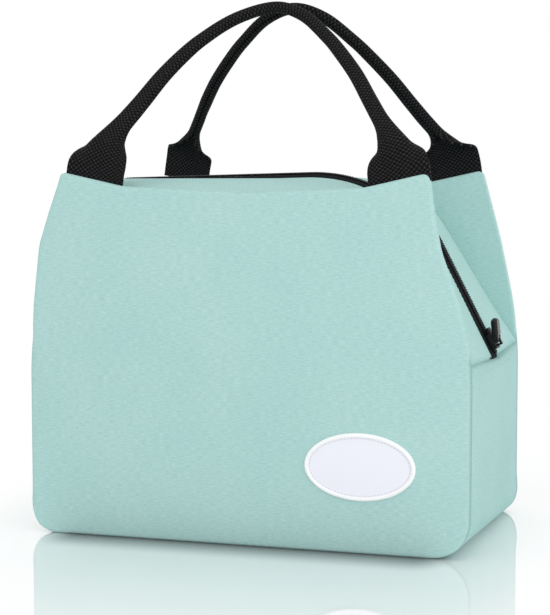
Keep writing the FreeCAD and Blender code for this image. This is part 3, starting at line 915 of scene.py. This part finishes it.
def softenedCopy(name, node, finish, slotName, reshape=None, look=softLook):
    mesh = frame["nodes"][node].data.copy()
    mesh.name = name
    if reshape:
        reshape(mesh)
    editable = bmesh.new()
    editable.from_mesh(mesh)
    bmesh.ops.remove_doubles(editable, verts=editable.verts, dist=look["merge"])
    bmesh.ops.dissolve_limit(editable, angle_limit=look["flat"], verts=editable.verts, edges=editable.edges)
    sharp = [edge for edge in editable.edges if edge.is_manifold and edge.calc_face_angle() > look["sharp"]]
    bmesh.ops.bevel(editable, geom=sharp, offset=look[slotName], segments=look["segments"],
                    profile=look["profile"], affect="EDGES", clamp_overlap=True)
    editable.to_mesh(mesh)
    editable.free()
    mesh.materials.clear()
    mesh.materials.append(finish)
    mesh.shade_smooth()
    mesh.set_sharp_from_angle(angle=look["smooth"])
    piece = addObject(name, mesh)
    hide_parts(node)
    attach(piece, node)  # the slider and the pull are each a body of the same name


pullLook = {"lift": 20.0, "reach": 0.74, "reachFrom": 1 * mm, "armEnd": 5 * mm, "armFrom": 1.4 * mm,
            "armOuter": 2.2 * mm, "armReach": 4.4 * mm, "armStout": 1.8}


def stouter(mesh, look=pullLook):
    # the pull's arms as broad as its paddle, and its paddle a little shorter
    pivot = Vector(joints["pull_turn"]["pos_m"])
    out = Vector((zipAxis.z, 0, -zipAxis.x))
    rise, run = math.sin(math.radians(look["lift"])), math.cos(math.radians(look["lift"]))
    along, away = zipAxis * run + out * rise, out * run - zipAxis * rise
    for vertex in mesh.vertices:
        place = vertex.co - pivot
        far, high, side = place @ along, place @ away, place.y
        if far < look["armEnd"] and abs(side) > look["armFrom"]:
            high *= look["armStout"]
            side = math.copysign(look["armReach"], side) if abs(side) > look["armOuter"] else side
        if far > look["reachFrom"]:
            far *= look["reach"]
        vertex.co = pivot + along * far + away * high + Vector((0, side, 0))


softenedCopy("zipSlider", "zip_slider", sliderEnamel, "slider")
softenedCopy("zipPull", "zip_pull", pullGloss, "pull", stouter)
print("slider and pull made")


# Badge: oval plate with a raised rim and a row of stitches

badgeLook = {
    "profile": [(0.0, -0.6), (0.0, 0.7), (0.25, 1.25), (0.8, 1.7), (1.5, 1.8), (2.0, 1.65), (2.3, 1.3),
                (2.6, 1.12), (3.1, 1.08), (5.0, 1.1), (9.0, 1.14), (14.0, 1.16)],  # inset and height, in mm
    "around": 112, "stitchInset": 3.0 * mm, "stitchHeight": 1.12 * mm,
}
badgeStitchLook = {"pitch": 1.9 * mm, "bead": (0.17 * mm, 0.13 * mm, 0.62 * mm), "segments": 6}


def panelY(x, z, count=6, blur=0.01 * mm):
    # depth of the front panel's face under a place, from its nearest points
    points = panelSurface.reshape(-1, 3)
    gaps = np.hypot(points[:, 0] - x, points[:, 2] - z)
    near = np.argsort(gaps)[:count]
    weight = 1 / (gaps[near] + blur)
    return float((points[near, 1] * weight).sum() / weight.sum())


def badgeRing(inset, height):
    angles = np.arange(badgeLook["around"]) * 2 * math.pi / badgeLook["around"]
    x = badgeMiddle.x + (badgeReach.x - inset) * np.cos(angles)
    z = badgeMiddle.z + (badgeReach.z - inset) * np.sin(angles)
    return np.stack([x, [panelY(*place) - height for place in zip(x, z)], z], -1)


def makeBadge(look=badgeLook):
    rings = [badgeRing(inset * mm, height * mm) for inset, height in look["profile"]]
    faceHeight = look["profile"][-1][1] * mm
    centre = [[badgeMiddle.x, panelY(badgeMiddle.x, badgeMiddle.z) - faceHeight, badgeMiddle.z]]
    vertices = np.concatenate(rings + [centre])
    index = np.arange(len(rings) * look["around"]).reshape(len(rings), look["around"])
    closed = np.pad(index, ((0, 0), (0, 1)), "wrap")
    faces = quadsOf(closed).tolist() + [index[0].tolist()]
    faces += [[a, b, len(vertices) - 1] for a, b in zip(closed[-1].tolist(), closed[-1, 1:].tolist())]
    piece = meshObject("badgePlate", vertices, faces, vertices[:, [0, 2]], badgeRubber)
    assign(piece, ["badge"])
    line = badgeRing(look["stitchInset"], look["stitchHeight"])
    sewn = beadsAlong("badgeStitches", line, badgeStitchLook, greyThread, closed=True)
    assign(sewn)
    print("badge made")


makeBadge()


# Linings and bindings inside

insideLook = {"panelInset": 5.5 * mm, "gap": 0.4 * mm, "film": 0.35 * mm, "rimRows": 6, "rowGap": 0.5 * mm,
              "gussetInset": 1.0 * mm, "bindingHeight": 7 * mm, "bindingThickness": 1.6 * mm,
              "bindingJoin": 3 * mm}


def makePanelLinings(look=insideLook):
    kept = slice(look["rimRows"], -look["rimRows"])
    x, z = np.moveaxis(panelGrid()[0][kept, kept], -1, 0)
    # inside the zip gusset's seam above the fold
    seam = seamPath()
    climb = seam[:len(seam) // 2]
    limit = np.where(z < foldZ, halfWidth, np.interp(z, climb[:, 1], climb[:, 0])) - look["panelInset"]
    x = x * np.minimum(1, limit.min(1) / abs(x).max(1))[:, None]
    # rows past the top seam close up just under it
    rowDrop = look["rowGap"] * np.linspace(1, 0, len(z))[:, None]
    z = np.minimum(z, topSeamZ - look["panelInset"] - rowDrop)
    outer = np.stack([x, np.full_like(x, panelBack + look["gap"]), z], -1)
    inner = outer + [0, look["film"], 0]
    for label, side in sides:
        piece = shellObject(label + "Lining", outer, inner, film, side)
        assign(piece, [label + "_lining_lower", label + "_lining_upper"], label)
        declareSheet(outer)


def makeGussetLining(look=insideLook):
    inset = gussetLook["thickness"] + look["gap"]
    reach = -panelBack - look["gussetInset"]
    outer, inner = gussetSurface(inset, reach), gussetSurface(inset + look["film"], reach)
    piece = shellObject("gussetLining", outer, inner, film)
    assign(piece, ["gusset_lining"])
    declareSheet(outer)


def makeBindings(look=insideLook):
    # one tape over each panel's inner seam, all the way round
    height, thickness = look["bindingHeight"], look["bindingThickness"]
    clear = 2 * look["gap"] + look["film"]
    low, high = gussetPath(gussetLook["thickness"] + clear)[::-1], seamPath()
    high = high - outwards(high) * (bandLook["thickness"] + clear)
    loop = np.concatenate([low, high[high[:, 1] > foldZ + look["bindingJoin"]]])
    start = panelBack + look["gap"] + look["film"]
    inside = loop - outwards(loop) * height
    ring = np.stack([atDepth(loop, start), atDepth(inside, start), atDepth(inside, start + thickness),
                     atDepth(loop, start + thickness)], 1)
    index = np.arange(len(loop) * 4).reshape(-1, 4)
    faces = quadsOf(np.pad(index, (0, 1), "wrap"))
    around = [0, height, height + thickness, 2 * height + thickness]
    uvs = np.stack(np.meshgrid(around, running(stepLengths(loop, 0))), -1).reshape(-1, 2)
    for label, side in sides:
        vertices = mirrored(ring, side).reshape(-1, 3)
        piece = meshObject(label + "Binding", vertices, faces.tolist(), uvs, bindingCloth)
        assign(piece, [label + "_binding_lower", label + "_binding_upper"], label)


makePanelLinings()
makeGussetLining()
makeBindings()
print("inside made")


# Stage: pale floor, soft light and the photograph's camera

floorLook = {
    "pale": (0.97, 0.975, 0.975, 1), "contactColour": (0.20, 0.22, 0.22, 1), "roughness": 0.03, "metal": 0.3,
    "glow": 0.03, "halfSize": 4.0, "white": (0.05, 0.42), "sideways": 20.0,
    "contact": 36 * mm, "stripInset": 30 * mm, "stripEnds": 2.0,
}
lightLook = {
    "sky": 0.87, "aim": (0, 0, 120 * mm),
    # place, size and power
    "lamps": {"key": ((-0.9, -1.7, 0.8), 1.4, 0.9), "fill": ((1.7, -1.0, 0.5), 1.4, 5.2),
              "front": ((0.9, -1.6, 0.4), 1.2, 4.0), "top": ((0.2, -0.4, 1.9), 1.2, 3.0)},
}
cameraLook = {"place": (0.3195, -1.0115, 0.2214), "tilt": 85.02, "turn": 17.73, "lens": 104.5, "sensor": 36.0}


def makeFloor(look=floorLook):
    far = look["halfSize"]
    mesh = bpy.data.meshes.new("floor")
    mesh.from_pydata([(-far, -far, 0), (far, -far, 0), (far, far, 0), (-far, far, 0)], [], [(0, 1, 2, 3)])
    floor = addObject("floor", mesh)
    pale, shader = newMaterial("paleFloor", look)
    mesh.materials.append(pale)
    x, y = coordinates(shader, "Object")
    beside = x.maths("ABSOLUTE") - halfWidth
    sideGap, depthGap = [gap.maths("MAXIMUM") for gap in (beside, y.maths("ABSOLUTE") + panelFace)]
    smooth = {"interpolation_type": "SMOOTHSTEP"}
    # painted shadow: a dim strip along the front's foot, where the bag keeps the light off
    inStrip = (beside + look["stripInset"]).maths("MAXIMUM")
    inFront = panelFace - y
    near = (inStrip * inStrip * look["stripEnds"] + inFront * inFront).maths("SQRT")
    lit = near.node("ShaderNodeMapRange", smooth, {"Value": near, "From Max": look["contact"]})
    feed(shader, "Base Color", mixColours(lit, look["contactColour"], look["pale"]))
    # plain white away from the bag, as far as the camera sees it
    away = (sideGap * sideGap * look["sideways"] + depthGap * depthGap).maths("SQRT")
    whiteFrom, whiteTo = look["white"]
    fade = away.node("ShaderNodeMapRange", smooth,
                     {"Value": away, "From Min": whiteFrom, "From Max": whiteTo})
    fade = fade * fade.node("ShaderNodeLightPath", output="Is Camera Ray")
    white = fade.node("ShaderNodeEmission", None, {"Color": (1, 1, 1, 1), "Strength": 1.0})
    mixed = fade.node("ShaderNodeMixShader", None, {0: fade, 1: shader, 2: white})
    mixed.tree.links.new(mixed.socket, mixed.tree.nodes["Material Output"].inputs["Surface"])


def makeLight(look=lightLook):
    world = bpy.data.worlds.new("studio")
    scene.world = world
    world.use_nodes = True
    # white to the camera and in reflections, and a little dimmer as light
    background = world.node_tree.nodes["Background"]
    background.inputs["Color"].default_value = (1, 1, 1, 1)
    sky = Wire(world.node_tree, background.outputs[0])
    camera, glossy, clear = [sky.node("ShaderNodeLightPath", output="Is " + kind + " Ray")
                             for kind in ("Camera", "Glossy", "Transmission")]
    seen = (camera + glossy + clear).maths("MINIMUM", 1.0)
    feed(sky, "Strength", seen + (1 - seen) * look["sky"])
    for name, (place, size, power) in look["lamps"].items():
        light = bpy.data.lights.new(name, "AREA")
        light.size = size
        light.energy = power
        lamp = addObject(name, light)
        lamp.location = place
        lamp.rotation_euler = (Vector(look["aim"]) - lamp.location).to_track_quat("-Z", "Y").to_euler()


def makeCamera(look=cameraLook):
    camera = addObject("camera", bpy.data.cameras.new("camera"))
    camera.data.lens = look["lens"]
    camera.data.sensor_width = look["sensor"]
    camera.location = look["place"]
    camera.rotation_euler = (math.radians(look["tilt"]), 0, math.radians(look["turn"]))
    scene.camera = camera
    scene.view_settings.view_transform = "Standard"


makeFloor()
makeLight()
makeCamera()
print("stage made")
